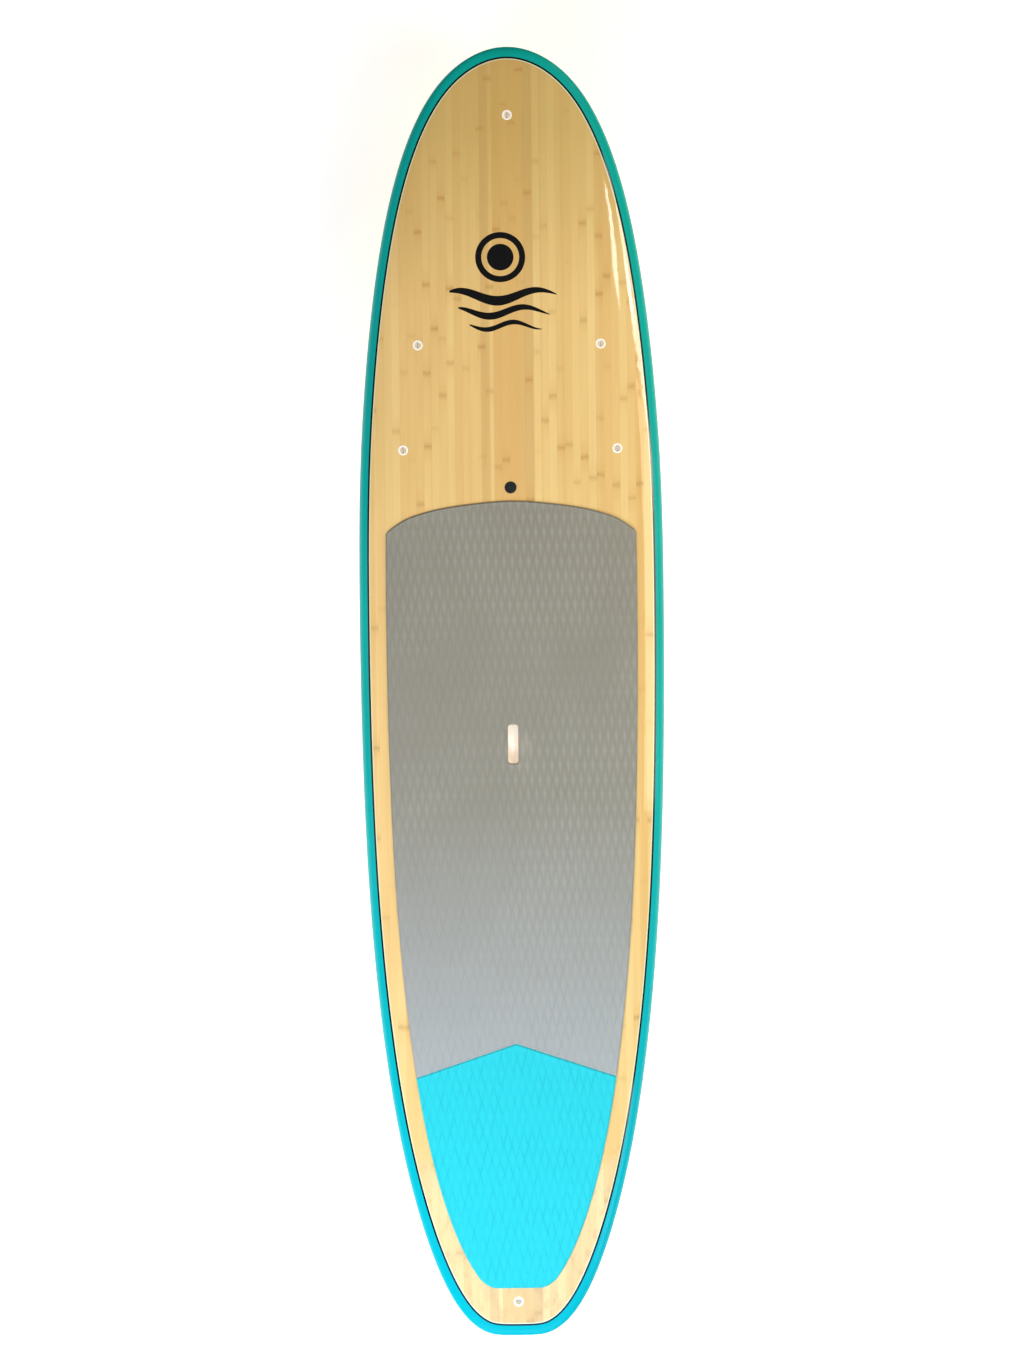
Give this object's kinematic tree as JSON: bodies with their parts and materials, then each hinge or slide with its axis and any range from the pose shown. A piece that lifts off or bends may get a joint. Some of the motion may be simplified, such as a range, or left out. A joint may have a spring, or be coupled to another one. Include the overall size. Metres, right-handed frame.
{
  "type": "stand up paddleboard",
  "caption": "Rigid stand up paddleboard with bamboo deck, teal rails, foam deck pads, carry handle, vent plug, tie-down and leash plugs, and removable fins.",
  "frame": {"origin": "in the flat of the bottom, on the centre line, midway between nose and tail", "axes": "+Z out of the deck, +Y towards the nose, +X to starboard"},
  "size_m": [0.758, 3.2, 0.3611],
  "materials": {
    "eps_foam": "matte",
    "plywood": "matte",
    "pvc_foam": "matte",
    "bamboo": "gloss",
    "pinline": "gloss",
    "rail_paint": "gloss",
    "grey_eva": "matte",
    "cyan_eva": "matte",
    "white_abs": "satin",
    "stainless": "satin",
    "brass": "satin",
    "black_nylon": "satin",
    "seal_rubber": "satin",
    "membrane": "matte",
    "fin_box_plastic": "satin",
    "fin_plastic": "satin"
  },
  "bodies": {
    "board": {"foam_core_port": "eps_foam", "foam_core_starboard": "eps_foam", "stringer": "plywood", "handle_block": "pvc_foam", "fin_block": "pvc_foam", "leash_block": "pvc_foam", "side_fin_block_port": "pvc_foam", "side_fin_block_starboard": "pvc_foam", "deck_veneer": "bamboo", "bottom_veneer": "bamboo", "deck_pinline": "pinline", "bottom_pinline": "pinline", "rail_band": "rail_paint", "deck_pad": "grey_eva", "tail_pad": "cyan_eva", "handle_cup": "white_abs", "nose_plug_cup": "white_abs", "leash_plug_cup": "white_abs", "tie_down_cup_1": "white_abs", "tie_down_cup_2": "white_abs", "tie_down_cup_3": "white_abs", "tie_down_cup_4": "white_abs", "nose_plug_pin": "stainless", "leash_plug_pin": "stainless", "tie_down_pin_1": "stainless", "tie_down_pin_2": "stainless", "tie_down_pin_3": "stainless", "tie_down_pin_4": "stainless", "side_fin_screws": "stainless", "vent_housing": "black_nylon", "vent_membrane": "membrane", "fin_box": "fin_box_plastic", "side_fin_box_port": "fin_box_plastic", "side_fin_box_starboard": "fin_box_plastic"},
    "centre_fin": {"centre_fin": "fin_plastic", "fin_pin": "stainless", "fin_plate": "brass"},
    "fin_screw": {"fin_screw": "stainless"},
    "vent_screw": {"vent_screw": "black_nylon", "vent_seal": "seal_rubber"},
    "side_fin_port": {"side_fin_port": "fin_plastic"},
    "side_fin_starboard": {"side_fin_starboard": "fin_plastic"}
  },
  "joints": [
    {"name": "centre_fin_slide", "type": "slide", "parent": "board", "child": "centre_fin", "axis": [0, 0.9994, -0.0349], "range_m": [-0.038, 0.026]},
    {"name": "fin_screw_turn", "type": "hinge", "parent": "centre_fin", "child": "fin_screw", "pos_m": [0, -1.19494, 0.02594], "axis": [0, -0.0349, -0.9994], "range_deg": [0, 720]},
    {"name": "vent_screw_turn", "type": "hinge", "parent": "board", "child": "vent_screw", "pos_m": [0, 0.509, 0.11455], "axis": [0, -0.0065, 1], "range_deg": [0, 1800]},
    {"name": "side_fin_port_slide", "type": "slide", "parent": "board", "child": "side_fin_port", "axis": [0, -0.0349, -0.9994], "range_m": [0, 0.014]},
    {"name": "side_fin_starboard_slide", "type": "slide", "parent": "board", "child": "side_fin_starboard", "axis": [0, -0.0349, -0.9994], "range_m": [0, 0.014]}
  ]
}
